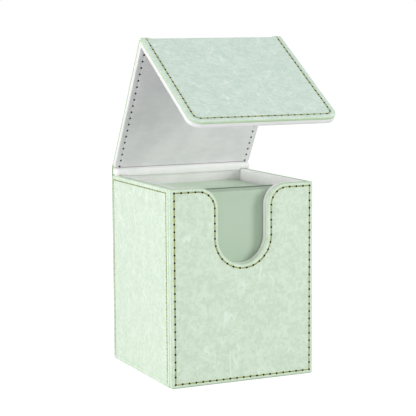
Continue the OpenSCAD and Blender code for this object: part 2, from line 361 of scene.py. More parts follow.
def make_thread_fibre():
    """Twisted yarn: fine slanting strands, darker between them."""
    group, given = paint_group("thread_fibre", ("Light", "Color", None), ("Dark", "Color", None))
    strands = cloud(group, given["Where"], 2600.0, 2.0)
    patches = cloud(group, given["Where"], 160.0, 1.0)
    mixed = fade(group, weigh(group, (strands, 0.6), (patches, 0.4)), 0.35, 0.65)
    return give_surface(group, blend_colours(group, mixed, given["Dark"], given["Light"]), strands,
                        fade(group, strands, 0.3, 0.7, 0.7, 0.5))


thread_fibre = make_thread_fibre()
olive_thread = material_with(
    "olive_thread", thread_fibre, {"Light": colour(176, 186, 110), "Dark": colour(128, 138, 66)},
    0.4, 0.0001, {"Specular IOR Level": 0.3, "Sheen Weight": 0.1}, reads=None)
# Holes are near-black discs at the leather's face: painted shade inside each punched hole
needle_hole = material_with(
    "needle_hole", thread_fibre, {"Light": colour(26, 24, 16), "Dark": colour(8, 8, 5)},
    0.3, 0.0001, {"Specular IOR Level": 0.1}, reads=None)


def shape_node(tree, kind, settings=None, **sockets):
    """The first output of a geometry node."""
    return add_node(tree, "GeometryNode" + kind, settings, **sockets).outputs[0]


def vector_of(tree, **parts):
    return add_node(tree, "ShaderNodeCombineXYZ", None, **parts).outputs[0]


def shape_tree(name, *inputs):
    """A geometry tree with its named inputs and one geometry output."""
    tree = bpy.data.node_groups.new(name, "GeometryNodeTree")
    names = tree_sockets(tree, inputs)
    tree_sockets(tree, (("Made", "Geometry", None),), "OUTPUT")
    return tree, names, tree.nodes.new("NodeGroupInput").outputs, tree.nodes.new("NodeGroupOutput").inputs[0]


def make_stitch_tree():
    """Stitches along every path of a mesh: a hole at even points, a thread at odd points."""
    tree, names, get, result = shape_tree(
        "saddle_stitches", ("Paths", "Geometry", None), ("Pitch", "Float", 0.004),
        ("Thread Radius", "Float", 0.0003), ("Thread Share", "Float", 0.86), ("Thread Lift", "Float", 0.0002),
        ("Thread Dip", "Float", 0.0002), ("Hole Radius", "Float", 0.0005), ("Hole Lift", "Float", 0.00003),
        ("Seed", "Int", 5), ("Thread", "Material", None), ("Hole", "Material", None))
    line = shape_node(tree, "MeshToCurve", Mesh=get["Paths"])
    length = add_node(tree, "GeometryNodeSplineLength").outputs["Length"]
    fitting = do_maths(tree, "ROUND", do_maths(tree, "DIVIDE", length, get["Pitch"]))
    stitches = do_maths(tree, "MAXIMUM", fitting, 1.0)
    last = do_maths(tree, "MULTIPLY", stitches, 2.0)
    points = shape_node(tree, "ResampleCurve", {"mode": "COUNT"}, Curve=line, Count=do_maths(tree, "ADD", last, 1.0))
    index = add_node(tree, "GeometryNodeSplineParameter").outputs["Index"]
    odd = do_maths(tree, "MODULO", index, 2.0)
    even = do_maths(tree, "SUBTRACT", 1.0, odd)
    not_last = do_maths(tree, "LESS_THAN", index, do_maths(tree, "SUBTRACT", last, 0.5))
    normal = shape_node(tree, "InputNamedAttribute", {"data_type": "FLOAT_VECTOR"}, Name="face_normal")
    turned = add_node(tree, "FunctionNodeAxesToRotation", {"primary_axis": "Z", "secondary_axis": "X"},
                      _0=normal, _1=shape_node(tree, "InputTangent")).outputs[0]
    # Each stitch lies a little askew
    sway = add_node(tree, "FunctionNodeRandomValue", {"data_type": "FLOAT"}, _2=-0.05, _3=0.05, Seed=get["Seed"])
    askew = add_node(tree, "FunctionNodeEulerToRotation", None, _0=vector_of(tree, Z=sway.outputs[1]))
    loose = add_node(tree, "FunctionNodeRotateRotation", {"rotation_space": "LOCAL"}, _0=turned,
                     _1=askew.outputs[0]).outputs[0]
    half = do_maths(tree, "MULTIPLY", do_maths(tree, "MULTIPLY", get["Pitch"], get["Thread Share"]), 0.5)
    dip = do_maths(tree, "MULTIPLY", get["Thread Dip"], -1.0)
    bow = shape_node(tree, "CurveQuadraticBezier", Resolution=6,
                     Start=vector_of(tree, X=do_maths(tree, "MULTIPLY", half, -1.0), Z=dip),
                     Middle=vector_of(tree, Z=get["Thread Lift"]), End=vector_of(tree, X=half, Z=dip))
    ring = shape_node(tree, "CurvePrimitiveCircle", {"mode": "RADIUS"}, Resolution=7, Radius=get["Thread Radius"])
    yarn = shape_node(tree, "CurveToMesh", Curve=bow, Profile_Curve=ring, Fill_Caps=True)
    stretch = do_maths(tree, "DIVIDE", do_maths(tree, "DIVIDE", length, stitches), get["Pitch"])
    threads = shape_node(tree, "InstanceOnPoints", Points=points, Selection=odd, Instance=yarn, Rotation=loose,
                         Scale=vector_of(tree, X=stretch, Y=1.0, Z=1.0))
    soft = shape_node(tree, "SetShadeSmooth", Geometry=shape_node(tree, "RealizeInstances", Geometry=threads))
    disc = shape_node(tree, "MeshCone", Vertices=10, Radius_Top=do_maths(tree, "MULTIPLY", get["Hole Radius"], 0.85),
                      Radius_Bottom=get["Hole Radius"], Depth=do_maths(tree, "MULTIPLY", get["Hole Lift"], 2.0))
    sunk = shape_node(tree, "Transform", Geometry=disc,
                      Translation=vector_of(tree, Z=do_maths(tree, "MULTIPLY", get["Hole Lift"], -1.0)))
    bored = shape_node(tree, "InstanceOnPoints", Points=points, Selection=do_maths(tree, "MULTIPLY", even, not_last),
                       Instance=sunk, Rotation=turned)
    both = tree.nodes.new("GeometryNodeJoinGeometry")
    for shape, finish in ((soft, "Thread"), (shape_node(tree, "RealizeInstances", Geometry=bored), "Hole")):
        tree.links.new(shape_node(tree, "SetMaterial", Geometry=shape, Material=get[finish]), both.inputs[0])
    tree.links.new(both.outputs[0], result)
    return tree, names


stitch_tree, stitch_inputs = make_stitch_tree()


def grow(name, mesh, tree, inputs, values):
    """A plain mesh of what a tree makes from a mesh. The modifier is taken off again."""
    seedling = new_object(name + "_path", mesh)
    modifier = seedling.modifiers.new("grow", "NODES")
    modifier.node_group = tree
    for label, value in values.items():
        modifier[inputs[label]] = value
    shown = seedling.evaluated_get(bpy.context.evaluated_depsgraph_get())
    made = new_object(name, bpy.data.meshes.new_from_object(shown))
    made.data.name = name
    seedling.modifiers.remove(modifier)
    bpy.data.objects.remove(seedling)
    return made


def make_seam(name, runs, pitch=stitch_pitch, thread_r=0.34, hole_r=0.72, sink=0.12, share=0.72, dip=0.2,
              lift=0.3, hole_lift=0.09, seed=5, thread=olive_thread, hole=needle_hole):
    """The stitches of one seam. A run is a list of (point, face normal); its ends fall on holes."""
    mesh = bpy.data.meshes.new(name + "_path")
    points, edges, normals = [], [], []
    for run in runs:
        start = len(points)
        for point, normal in run:
            normal = Vector(normal).normalized()
            points.append((Vector(point) - normal * sink) * MM)
            normals.extend(normal)
        edges += [(i, i + 1) for i in range(start, len(points) - 1)]
    mesh.from_pydata(points, edges, [])
    mesh.attributes.new("face_normal", "FLOAT_VECTOR", "POINT").data.foreach_set("vector", normals)
    return grow(name, mesh, stitch_tree, stitch_inputs,
                {"Pitch": pitch * MM, "Thread Radius": thread_r * MM, "Thread Share": share,
                 "Thread Lift": lift * MM, "Thread Dip": dip * MM, "Hole Radius": hole_r * MM,
                 "Hole Lift": hole_lift * MM, "Seed": seed, "Thread": thread, "Hole": hole})


def straight(a, b, normal):
    return [(a, normal), (b, normal)]


third_corner, notch_points = 14, 13 + 29 + 13
notch_run = front_outline(front_seam_inset, corner=0)[third_corner:third_corner + notch_points]
left_x, right_x = -side_x + front_seam_inset, side_x - front_seam_inset
low_z, top_z = front_seam_inset, box_h - front_seam_inset
out = (0, -1, 0)
front_runs = [
    straight((left_x, front_y, low_z), (right_x, front_y, low_z), out),
    straight((right_x, front_y, low_z), (right_x, front_y, top_z), out),
    [((x, front_y, z), out) for x, z in [(right_x, top_z)] + notch_run + [(left_x, top_z)]],
    straight((left_x, front_y, top_z), (left_x, front_y, low_z), out)]
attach(make_seam("front_wall_stitches", front_runs), "box")

# ---------------------------------------------------------------------------------------
# Side walls, outside. The same leather over board. Each is stitched along its top and its
# two upright edges, with finer holes than the front. Its front edge meets the front panel
# in a crease.
# ---------------------------------------------------------------------------------------
side_low, side_high = size_of("left_cover")
side_depth = side_high.x - side_low.x
side_front_row = 3.0
side_top_row = 2.5
side_rear_row = 1.9


def side_outline(inset, corner=0.7, fade_at=9.0):
    """A side panel's (y, z) outline. The trough keeps to the row's own distance from each edge."""
    front, rear = inset * side_front_row / side_top_row, inset * side_rear_row / side_top_row
    if inset < 1.5:
        front = rear = inset
    a0, a1, b0, b1 = side_low.y + front, side_high.y - rear, side_low.z + inset, side_high.z - inset
    turn = max(corner - inset, 0)
    return (arc(a0 + turn, b0 + turn, turn, 180, 270, 4) + arc(a1 - turn, b0 + turn, turn, 270, 360, 4)
            + [(a1, fade_at)] + arc(a1 - turn, b1 - turn, turn, 0, 90, 4)
            + arc(a0 + turn, b1 - turn, turn, 90, 180, 4) + [(a0, fade_at)])


for side, way in (("left", -1), ("right", 1)):
    make_panel(side + "_wall_leather", side_outline, wrapped_profile(side_depth, leather, 0.8, 0.4, side_top_row),
               lambda a, b, depth: (way * (side_x - (depth if depth > 0.3 or b > 5 else 0)), a, b), box_leather,
               "box", side + "_cover")
    face = way * side_x
    rear_at, front_at = side_high.y - side_rear_row, side_low.y + side_front_row
    top_at = box_h - side_top_row
    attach(make_seam(side + "_wall_stitches", [
        straight((face, rear_at, 1.2), (face, rear_at, top_at), (way, 0, 0)),
        straight((face, rear_at, top_at), (face, front_at, top_at), (way, 0, 0)),
        straight((face, front_at, top_at), (face, front_at, 1.2), (way, 0, 0))],
        pitch=3.5, hole_r=0.36, thread_r=0.3, share=0.66), "box")

# ---------------------------------------------------------------------------------------
# Rear wall and bottom, outside. One sheet of leather covers the back and goes on without a
# break into the hinge, the lid and the flap. Its end is turned under the rear board, and a
# separate sheet covers the bottom.
# ---------------------------------------------------------------------------------------
rear_low, rear_high = size_of("rear_cover")
rear_y = rear_high.y
strip_seam = 3.1
overrun = 10  # how far a sheet is drawn past the place where it is cut
# Rear wall, hinge, lid and flap take a bluer copy of the box leather: painted cool light on the lid and flap
sheet_leather_painted_cool_light = leather_finish("sheet_leather_painted_cool_light", (217, 231, 221), (203, 220, 209), (236, 243, 237), (188, 212, 172))


def cut_away(work, point, way):
    """Cuts a mesh at a point in millimetres, drops what lies that way, and closes the cut."""
    geom = work.verts[:] + work.edges[:] + work.faces[:]
    cut = bmesh.ops.bisect_plane(work, geom=geom, dist=1e-7, plane_co=Vector(point) * MM, plane_no=way,
                                 clear_outer=True)
    bmesh.ops.edgeloop_fill(work, edges=[e for e in cut["geom_cut"] if isinstance(e, bmesh.types.BMEdge)])


def rectangle(a0, a1, b0, b1, corner=0.0):
    """The outline of a plain panel, drawn in by inset."""
    return lambda inset: (square_corner(a0, b0, 1, 1, inset, corner, 180)
                          + square_corner(a1, b0, -1, 1, inset, corner, 270)
                          + square_corner(a1, b1, -1, -1, inset, corner, 0)
                          + square_corner(a0, b1, 1, -1, inset, corner, 90))


work = bmesh.new()
add_rings(work, panel_rings(rectangle(-side_x, side_x, 0, box_h + overrun, 0.8),
                            [(0, leather, 0)] + face_profile(leather, strip_seam),
                            lambda a, b, depth: (a, rear_y - depth, b)))
cut_away(work, (0, 0, box_h), (0, 0, 1))
turned_in = side_x - side_depth
add_rings(work, [[((x, y, z), 1.0) for x, z in ((-turned_in, 0), (turned_in, 0), (turned_in, leather),
                                                (-turned_in, leather))]
                 for y in (rear_low.y, rear_y - leather)])
fit_piece(close_skin(work, "rear_wall_leather", sheet_leather_painted_cool_light), "box", "rear_cover")
strip_x = side_x - strip_seam
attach(make_seam("rear_wall_stitches", [
    straight((-strip_x, rear_y, box_h), (-strip_x, rear_y, strip_seam), (0, 1, 0)),
    straight((-strip_x, rear_y, strip_seam), (strip_x, rear_y, strip_seam), (0, 1, 0)),
    straight((strip_x, rear_y, strip_seam), (strip_x, rear_y, box_h), (0, 1, 0))]), "box")

base_low, base_high = size_of("base_cover")
make_panel("bottom_leather", rectangle(base_low.x, base_high.x, base_low.y, base_high.y, 0.5),
           [(0, leather, 0)] + face_profile(0.4), lambda a, b, depth: (a, b, depth), box_leather, "box",
           "base_cover")

# ---------------------------------------------------------------------------------------
# Lining of the box. White brushed microfibre glued over thinner inner panels, with the same
# notch in front and its edges rolled over the top of each wall.
# ---------------------------------------------------------------------------------------
lining = size_of("base_lining")[1].z - size_of("base_lining")[0].z
inner_low, inner_high = size_of("front_lining")


def make_microfibre_nap():
    """Brushed nap: soft clouds where the pile lies over, and a fine fuzz."""
    group, given = paint_group(
        "microfibre_nap", ("Edge Distance", "Float", 10.0), ("Pale", "Color", None), ("Shade", "Color", None),
        ("Edge", "Color", None), ("Nap Size", "Float", 14.0), ("Wrinkle", "Float", 0.0))
    where = given["Where"]
    drift = cloud(group, where, do_maths(group, "DIVIDE", 1000.0, given["Nap Size"]), 3.0, 0.55)
    fuzz = cloud(group, where, 2200.0, 2.0, 0.6)
    strokes = cloud(group, stretched(group, where, (0.35, 1.0, 1.0)), 420.0)
    tone = weigh(group, (drift, 0.6), (strokes, 0.25), (fuzz, 0.15))
    base = blend_colours(group, fade(group, tone, 0.4, 0.6), given["Shade"], given["Pale"])
    at_edge = fade(group, given["Edge Distance"], 0.1, 1.2, 0.8, 0.0)
    folds = cloud(group, stretched(group, where, (1.0, 0.5, 0.35)), 75.0, 1.0, 0.4, 0.5)
    height = weigh(group, (fuzz, 0.6), (strokes, 0.4), (folds, given["Wrinkle"]))
    return give_surface(group, blend_colours(group, at_edge, base, given["Edge"]), height,
                        fade(group, tone, 0.4, 0.6, 0.95, 0.85))


microfibre_nap = make_microfibre_nap()


def microfibre(name, pale, shade, edge, sheen=0.25, wrinkle=0.0):
    return material_with(
        name, microfibre_nap,
        {"Pale": colour(*pale), "Shade": colour(*shade), "Edge": colour(*edge), "Wrinkle": wrinkle},
        0.3, 0.0002, {"Specular IOR Level": 0.15, "Sheen Weight": sheen, "Sheen Roughness": 0.4})


white_microfibre = microfibre("white_microfibre", (243, 242, 241), (235, 235, 233), (240, 240, 238))

make_panel("front_wall_lining", lambda inset: front_outline(inset, inner_high.x, inner_low.z, 0.6),
           wrapped_profile(inner_high.y - inner_low.y, lining, 1.0, 0.3),
           lambda a, b, depth: (a, inner_high.y - depth, b), white_microfibre, "box", "front_lining")

for side, way in (("left", -1), ("right", 1)):
    near, far = size_of(side + "_lining")
    thick = far.x - near.x
    inside = min(abs(near.x), abs(far.x))
    make_panel(side + "_wall_lining", rectangle(near.y, far.y, near.z, far.z, 0.6),
               wrapped_profile(thick, lining, 0.9, 0.3), lambda a, b, depth: (way * (inside + depth), a, b),
               white_microfibre, "box", side + "_lining")

rear_in_low, rear_in_high = size_of("rear_lining")
work = bmesh.new()
add_rings(work, panel_rings(rectangle(rear_in_low.x, rear_in_high.x, rear_in_low.z, box_h + overrun, 0.5),
                            wrapped_profile(rear_in_high.y - rear_in_low.y, lining, 0.6, 0.3),
                            lambda a, b, depth: (a, rear_in_low.y + depth, b)))
cut_away(work, (0, 0, box_h), (0, 0, 1))
fit_piece(close_skin(work, "rear_wall_lining", white_microfibre), "box", "rear_lining")

floor_low, floor_high = size_of("base_lining")
make_panel("bottom_lining", rectangle(floor_low.x, floor_high.x, floor_low.y, floor_high.y, 0.4),
           [(0, lining, 0)] + face_profile(0.3), lambda a, b, depth: (a, b, floor_high.z - depth), white_microfibre,
           "box", "base_lining")

# ---------------------------------------------------------------------------------------
# Boards and magnets. Pressed grey paper board stiffens every panel, and two pairs of thin
# nickel-plated magnets sit in it, under the leather. Leather and lining close them in.
# ---------------------------------------------------------------------------------------


def make_speckle():
    """Flecks in a raw surface: long fibres in board, fine brushing on plated steel."""
    group, given = paint_group(
        "speckle", ("Light", "Color", None), ("Dark", "Color", None), ("Grain", "Float", 700.0),
        ("Rough Low", "Float", 0.8), ("Rough High", "Float", 0.95))
    flecks = cloud(group, stretched(group, given["Where"], (1.0, 1.0, 0.25)), given["Grain"], 3.0, 0.6)
    tint = blend_colours(group, fade(group, flecks, 0.35, 0.65), given["Dark"], given["Light"])
    rough = add_node(group, "ShaderNodeMapRange", None, _0=flecks, _1=0.3, _2=0.7, _3=given["Rough Low"],
                     _4=given["Rough High"])
    return give_surface(group, tint, flecks, rough.outputs[0])


speckle = make_speckle()
grey_board = material_with("grey_board", speckle, {"Light": colour(172, 166, 155), "Dark": colour(146, 140, 128)},
                           0.3, 0.0002, {"Specular IOR Level": 0.2}, reads=None)
plated_steel = material_with(
    "plated_steel", speckle, {"Light": colour(206, 206, 208), "Dark": colour(184, 184, 188), "Grain": 1500.0,
                              "Rough Low": 0.25, "Rough High": 0.4},
    0.1, 0.0001, {"Metallic": 1.0}, reads=None)
for node, piece in frame["nodes"].items():
    if node.endswith("board") or node.endswith("magnets"):
        piece.data.materials.clear()
        piece.data.materials.append(grey_board if node.endswith("board") else plated_steel)

# ---------------------------------------------------------------------------------------
# Rear hinge. Unsupported leather bends from the wall into the lid, and the lining inside is
# slack, so that it stands out in a soft white roll above the wall.
# ---------------------------------------------------------------------------------------
joint_places = {joint["name"]: [p / MM for p in joint["pos_m"]] for joint in frame["joints"] if "pos_m" in joint}
pivot_y, pivot_z = joint_places["lid_hinge"][1:]
lid_open = math.radians(59)
lid_gap = 0.3
lid_thick = 4.1
lid_x = size_of("lid_board")[1].x + leather
lid_top = lid_gap + lid_thick - (pivot_z - box_h)
lid_start = lid_gap + lid_thick - (rear_y - pivot_y)
lid_under = lid_top - lid_thick
leather_side = 1.6  # how far the leather reaches round the lid's side edges
lining_side = lid_thick - leather_side


def lid_point(x, u, n):
    """A point of the lid: u from the pivot towards the fold, n up out of its leather."""
    return (x, pivot_y - u * math.cos(lid_open) + n * math.sin(lid_open),
            pivot_z + u * math.sin(lid_open) + n * math.cos(lid_open))


def across(half_width, profile):
    """(x, depth, distance from the edge) from one side of a strip to the other."""
    left_side = [(-half_width + inset, depth, tone) for inset, depth, tone in profile]
    return left_side + [(-x, depth, tone) for x, depth, tone in reversed(left_side)]


sheet_section = [(0, leather, 0)] + face_profile(leather, strip_seam)
strip_length = (lid_gap + lid_thick) * math.pi / 2
rest_turn = math.pi / 2 - lid_open
rest_r = strip_length / rest_turn
hinge_steps = 9
rings = []
for i in range(hinge_steps + 1):
    angle = rest_turn * i / hinge_steps
    width = side_x + (lid_x - side_x) * i / hinge_steps
    rings.append([((x, rear_y - rest_r + (rest_r - depth) * math.cos(angle),
                    box_h + (rest_r - depth) * math.sin(angle)), inset)
                  for x, depth, inset in across(width, sheet_section)])
work = bmesh.new()
add_rings(work, rings)
hinge_leather = close_skin(work, "rear_hinge_leather_bend", sheet_leather_painted_cool_light)

roll_steps = 16
slack = 2.1      # how far the lining bulges
groove = 1.7     # how deep it tucks in under the lid
tuck_from = 0.8  # where along its face the tuck starts
lip_gap = 0.07   # between the lip and the cards
lip_low, lip_top = box_h - 1.3, box_h - 0.22  # lifted cards pass above the lip


def roll_section(sag):
    """The roll's (y, z) section: bulging face inside, and filled out to the leather behind."""
    foot, head = Vector((rear_in_low.y, box_h)), Vector(lid_point(0, lid_start, lid_under)[1:])
    lip_y = size_of("main_deck")[1].y + lip_gap
    face = [Vector((rear_in_low.y, lip_low)), Vector((lip_y, lip_low + 0.1)), Vector((lip_y, lip_top))]
    for i in range(1, roll_steps + 1):
        t = i / roll_steps
        tuck = max((t - tuck_from) / (1 - tuck_from), 0) ** 0.6
        bulge = slack * math.sin(math.pi * t ** 1.1) ** 0.5 - groove * tuck
        hang = sag * max(math.sin(2 * math.pi * t), 0) if t < 0.5 else 0.0
        y, z = foot.lerp(head, t) + Vector((-bulge, -hang))
        face.append(Vector((y, max(z, lip_top))))
    back = []
    for i in range(hinge_steps, -1, -1):
        angle = rest_turn * i / hinge_steps
        back.append(Vector((rear_y - rest_r + (rest_r - leather) * math.cos(angle),
                            box_h + (rest_r - leather) * math.sin(angle))))
    return face + back


# A lighter copy of the white microfibre: painted light on the roll
roll_microfibre_painted_light = microfibre("roll_microfibre_painted_light", (250, 249, 248), (243, 243, 241), (250, 249, 248), 0.3)
between_x = size_of("right_lining")[0].x
# Across half the roll: where, how full, and how far it hangs between the side walls
half_roll = [(lid_x - 0.15, 0.5, 0), (lid_x - 0.4, 0.72, 0), (lid_x - 1.0, 0.88, 0), (lid_x - 2.2, 0.96, 0),
             (between_x - 0.2, 1.0, 0), (between_x - 0.9, 1.0, 1.6), (between_x - 3.0, 1.0, 2.4),
             (between_x - 12.0, 1.0, 2.7)]
roll_rings = []
for x, size, sag in [(-x, size, sag) for x, size, sag in half_roll] + half_roll[::-1]:
    section = roll_section(sag)
    middle = sum(section, Vector((0, 0))) / len(section)
    ring = []
    for point in section:
        y, z = middle + (point - middle) * size
        ring.append(((x, y, z if sag else max(z, box_h)), 2.0))
    roll_rings.append(ring)
work = bmesh.new()
add_rings(work, roll_rings)
hinge_roll = close_skin(work, "rear_hinge_lining_roll", roll_microfibre_painted_light, 50)

hinge_seam = make_seam("rear_hinge_stitches", [
    [((way * (side_x - strip_seam), rear_y - rest_r + rest_r * math.cos(rest_turn * i / 4),
       box_h + rest_r * math.sin(rest_turn * i / 4)),
      (0, math.cos(rest_turn * i / 4), math.sin(rest_turn * i / 4))) for i in range(5)] for way in (-1, 1)])
for piece, node, slot in ((hinge_leather, "rear_hinge_leather", "leather"),
                          (hinge_roll, "rear_hinge_lining", "microfibre"), (hinge_seam, None, None)):
    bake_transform(piece)
    if node:
        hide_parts(node)

# ---------------------------------------------------------------------------------------
# Lid. Board between leather and microfibre, each turned over its side edges to meet halfway
# through the thickness, with a stitched row down each side.
# ---------------------------------------------------------------------------------------
flap_angle = math.radians(89)
fold_turn = math.pi - flap_angle
half_turn = math.tan(fold_turn / 2)
closed_tilt = math.pi / 2 - flap_angle
flap_gap = 0.3
fold_clearance = 0.83
fold_margin = lid_thick * half_turn + fold_clearance
closed_reach = pivot_y - front_y + flap_gap + lid_thick
lid_reach = (closed_reach + lid_top * math.sin(closed_tilt)) / math.cos(closed_tilt)
lid_end = lid_reach - fold_margin
# Lid, fold and flap lining take a darker, greyer copy of the white microfibre: painted shade under the flap
lid_microfibre_painted_shade = microfibre("lid_microfibre_painted_shade", (235, 234, 235), (226, 226, 227), (236, 236, 234), wrinkle=6.0)
lid_row = 2.9


def turned_rim(skin_t, side, tone):
    """The inside and the turned-over edge of a skin that covers this much of a board's side."""
    return [(skin_t, skin_t, tone), (skin_t, side, tone), (0.25, side, 0), (0.07, side - 0.07, 0), (0, side - 0.25, 0)]


def channel(half_width, skin_t, side, face):
    """The section of a skin turned over two side edges: its face, its sides and its inside."""
    rim = turned_rim(skin_t, side, skin_t)
    left_side = [(-half_width + inset, depth, edge) for inset, depth, edge in rim + face]
    return left_side + [(-x, depth, edge) for x, depth, edge in reversed(left_side)]


leather_face = face_profile(leather, strip_seam, side_tone=0.5)
lining_face = face_profile(0.5, lid_row, 0.1, 0.0, 1.0)
for name, skin_t, side, face, top, way, finish, node, slot in (
        ("lid_leather_cover", leather, leather_side, leather_face, lid_top, -1, sheet_leather_painted_cool_light, "lid_cover", "leather"),
        ("lid_lining_face", lining, lining_side, lining_face, lid_under, 1, lid_microfibre_painted_shade, "lid_lining",
         "microfibre")):
    work = bmesh.new()
    add_rings(work, [[(lid_point(x, u, top + way * depth), edge)
                      for x, depth, edge in channel(lid_x, skin_t, side, face)] for u in (lid_start, lid_end)])
    fit_piece(close_skin(work, name, finish), "lid", node)

lid_out = (0, math.sin(lid_open), math.cos(lid_open))
lid_in = (0, -math.sin(lid_open), -math.cos(lid_open))
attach(make_seam("lid_stitches", [straight(lid_point(way * (lid_x - strip_seam), lid_start, lid_top),
                                            lid_point(way * (lid_x - strip_seam), lid_end, lid_top), lid_out)
                                   for way in (-1, 1)]), "lid")
white_thread = material_with(
    "white_thread", thread_fibre, {"Light": colour(226, 228, 224), "Dark": colour(200, 202, 198)},
    0.4, 0.0001, {"Specular IOR Level": 0.2}, reads=None)
bare_holes = {"thread": white_thread, "thread_r": 0.12, "hole_r": 0.68, "sink": 0.08, "lift": 0.0, "hole_lift": 0.07}
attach(make_seam("lid_lining_holes", [straight(lid_point(way * (lid_x - lid_row), lid_start + 0.5, lid_under),
                                                lid_point(way * (lid_x - lid_row), lid_end, lid_under), lid_in)
                                       for way in (-1, 1)], **bare_holes), "lid")

# ---------------------------------------------------------------------------------------
# Fold between lid and flap. Leather alone turns the corner, a little proud at its stitched
# ends, with the lining creased tight inside it.
# ---------------------------------------------------------------------------------------
fold_r = 3.0
fold_steps = 12
ear = 0.45        # how far the leather stands proud at the fold's ends
apex = Vector(lid_point(0, lid_reach, lid_top))
flap_heading = lid_open - fold_turn


def flap_point(x, t, n):
    """A point of the flap: t from the fold's corner to its end, n up out of its leather."""
    return (x, apex.y - t * math.cos(flap_heading) + n * math.sin(flap_heading),
            apex.z + t * math.sin(flap_heading) + n * math.cos(flap_heading))


def fold_point(x, turn, depth):
    """A point of the fold, after this much of its turn, at a depth below the leather's face."""
    radius = max(fold_r - depth, 0.25)
    centre_u = lid_reach - (depth + radius) * half_turn
    return lid_point(x, centre_u + radius * math.sin(turn), lid_top - depth - radius + radius * math.cos(turn))


def fold_ring(section, i):
    """One ring across the fold: 0 at the lid's end, then round the turn, and last on the flap."""
    if i == 0:
        return [(lid_point(x, lid_end, lid_top - depth), edge) for x, depth, edge in section]
    if i == fold_steps + 2:
        return [(flap_point(x, fold_margin, -depth), edge) for x, depth, edge in section]
    share = (i - 1) / fold_steps
    made = []
    for x, depth, edge in section:
        stitched = abs(x) > lid_x - strip_seam - 2.2 and depth < 1.0
        proud = ear * math.sin(math.pi * share) if stitched else 0.0
        made.append((fold_point(x, fold_turn * share, depth - proud), edge))
    return made


solid_leather = [(-lid_x, leather_side, 0)] + across(lid_x, leather_face) + [(lid_x, leather_side, 0)]
lining_solid = [(x, lid_thick - depth, edge) for x, depth, edge in across(lid_x, [(0, lining_side, 1)] + lining_face)]
for name, section, depth, finish, node, slot in (
        ("fold_leather", solid_leather, leather_side, sheet_leather_painted_cool_light, "flap_hinge_leather", "leather"),
        ("fold_lining", lining_solid, lid_thick, lid_microfibre_painted_shade, "flap_hinge_lining", "microfibre")):
    work = bmesh.new()
    add_rings(work, [fold_ring(section, i) for i in range(fold_steps + 3)])
    piece = close_skin(work, name, finish)
    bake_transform(piece)
    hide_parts(node)

fold_runs = []
for way in (-1, 1):
    x = way * (lid_x - strip_seam)
    run = [(lid_point(x, lid_end, lid_top), lid_out)]
    for i in range(fold_steps + 1):
        turn = fold_turn * i / fold_steps
        tilt = lid_open - turn
        proud = ear * math.sin(math.pi * i / fold_steps)
        run.append((fold_point(x, turn, -proud), (0, math.sin(tilt), math.cos(tilt))))
    run.append((flap_point(x, fold_margin, 0), (0, math.sin(flap_heading), math.cos(flap_heading))))
    fold_runs.append(run)
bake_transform(make_seam("fold_stitches", fold_runs, seed=8))

# ---------------------------------------------------------------------------------------
# Flap. Built like the lid, with rounded lower corners. It carries the second pair of
# magnets and closes over the thumb notch. One seam runs round its three free edges.
# ---------------------------------------------------------------------------------------
flap_len = 77.4
flap_corner = 6.5
flap_seam = 3.1
flap_out = (0, math.sin(flap_heading), math.cos(flap_heading))
flap_in = (0, -math.sin(flap_heading), -math.cos(flap_heading))


def flap_outline(inset):
    """The flap's (x, t) outline, drawn out past the fold so that it can be cut there."""
    half, end, radius = lid_x - flap_corner, flap_len - flap_corner, flap_corner - inset
    start = inset - 2 * overrun
    return ([(inset - lid_x, start), (lid_x - inset, start)] + arc(half, end, radius, 0, 90, 12)
            + arc(-half, end, radius, 90, 180, 12))


def make_flap_skin(name, skin_t, side, face, top, way, finish, node):
    work = bmesh.new()
    add_rings(work, panel_rings(flap_outline, turned_rim(skin_t, side, 1) + face,
                                lambda a, b, depth: flap_point(a, b, top + way * depth)))
    cut_away(work, flap_point(0, fold_margin, 0), Vector(flap_point(0, 0, 0)) - Vector(flap_point(0, 1, 0)))
    fit_piece(close_skin(work, name, finish), "flap", node)


make_flap_skin("flap_leather_cover", leather, leather_side, face_profile(leather, flap_seam, side_tone=0.5), 0, -1,
               sheet_leather_painted_cool_light, "flap_cover")
make_flap_skin("flap_lining_face", lining, lining_side, lining_face, -lid_thick, 1, lid_microfibre_painted_shade, "flap_lining")


def flap_run(inset, n, normal):
    return [[(flap_point(x, t, n), normal) for x, t in
             [(lid_x - inset, fold_margin)] + flap_outline(inset)[2:] + [(-lid_x + inset, fold_margin)]]]


flap_pitch = 3.76
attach(make_seam("flap_stitches", flap_run(flap_seam, 0, flap_out), pitch=flap_pitch, seed=11), "flap")
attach(make_seam("flap_lining_holes", flap_run(lid_row, -lid_thick, flap_in), pitch=flap_pitch, seed=12,
                  **bare_holes), "flap")

# ---------------------------------------------------------------------------------------
# Cards. Two packets of trading cards in pale green matt sleeves, with a stiff divider sheet
# between them. Each card stands on its lower edge, and no two are quite level.
# ---------------------------------------------------------------------------------------


def make_sleeve_film():
    """Matt film: a light haze, and its own tone for each card."""
    group, given = paint_group(
        "sleeve_film", ("Card Tone", "Float", 0.5), ("Light", "Color", None), ("Dark", "Color", None))
    haze = cloud(group, given["Where"], 40.0, 3.0)
    fine = cloud(group, given["Where"], 2400.0, 1.0)
    tone = fade(group, weigh(group, (haze, 0.5), (given["Card Tone"], 0.5)), 0.25, 0.75)
    return give_surface(group, blend_colours(group, tone, given["Dark"], given["Light"]), fine,
                        fade(group, haze, 0.3, 0.7, 0.5, 0.38))


def card_material(name, light, dark):
    return material_with(name, sleeve_film, {"Light": colour(*light), "Dark": colour(*dark)}, 0.1, 0.0001,
                         {"Specular IOR Level": 0.35}, ("card_tone", "Card Tone"))


sleeve_film = make_sleeve_film()
green_sleeves = card_material("green_sleeves", (195, 213, 192), (184, 203, 181))
# The main deck takes a lighter copy of the green sleeves: painted light on the deck's top
deck_sleeves_painted_light = card_material("deck_sleeves_painted_light", (222, 238, 218), (206, 224, 203))
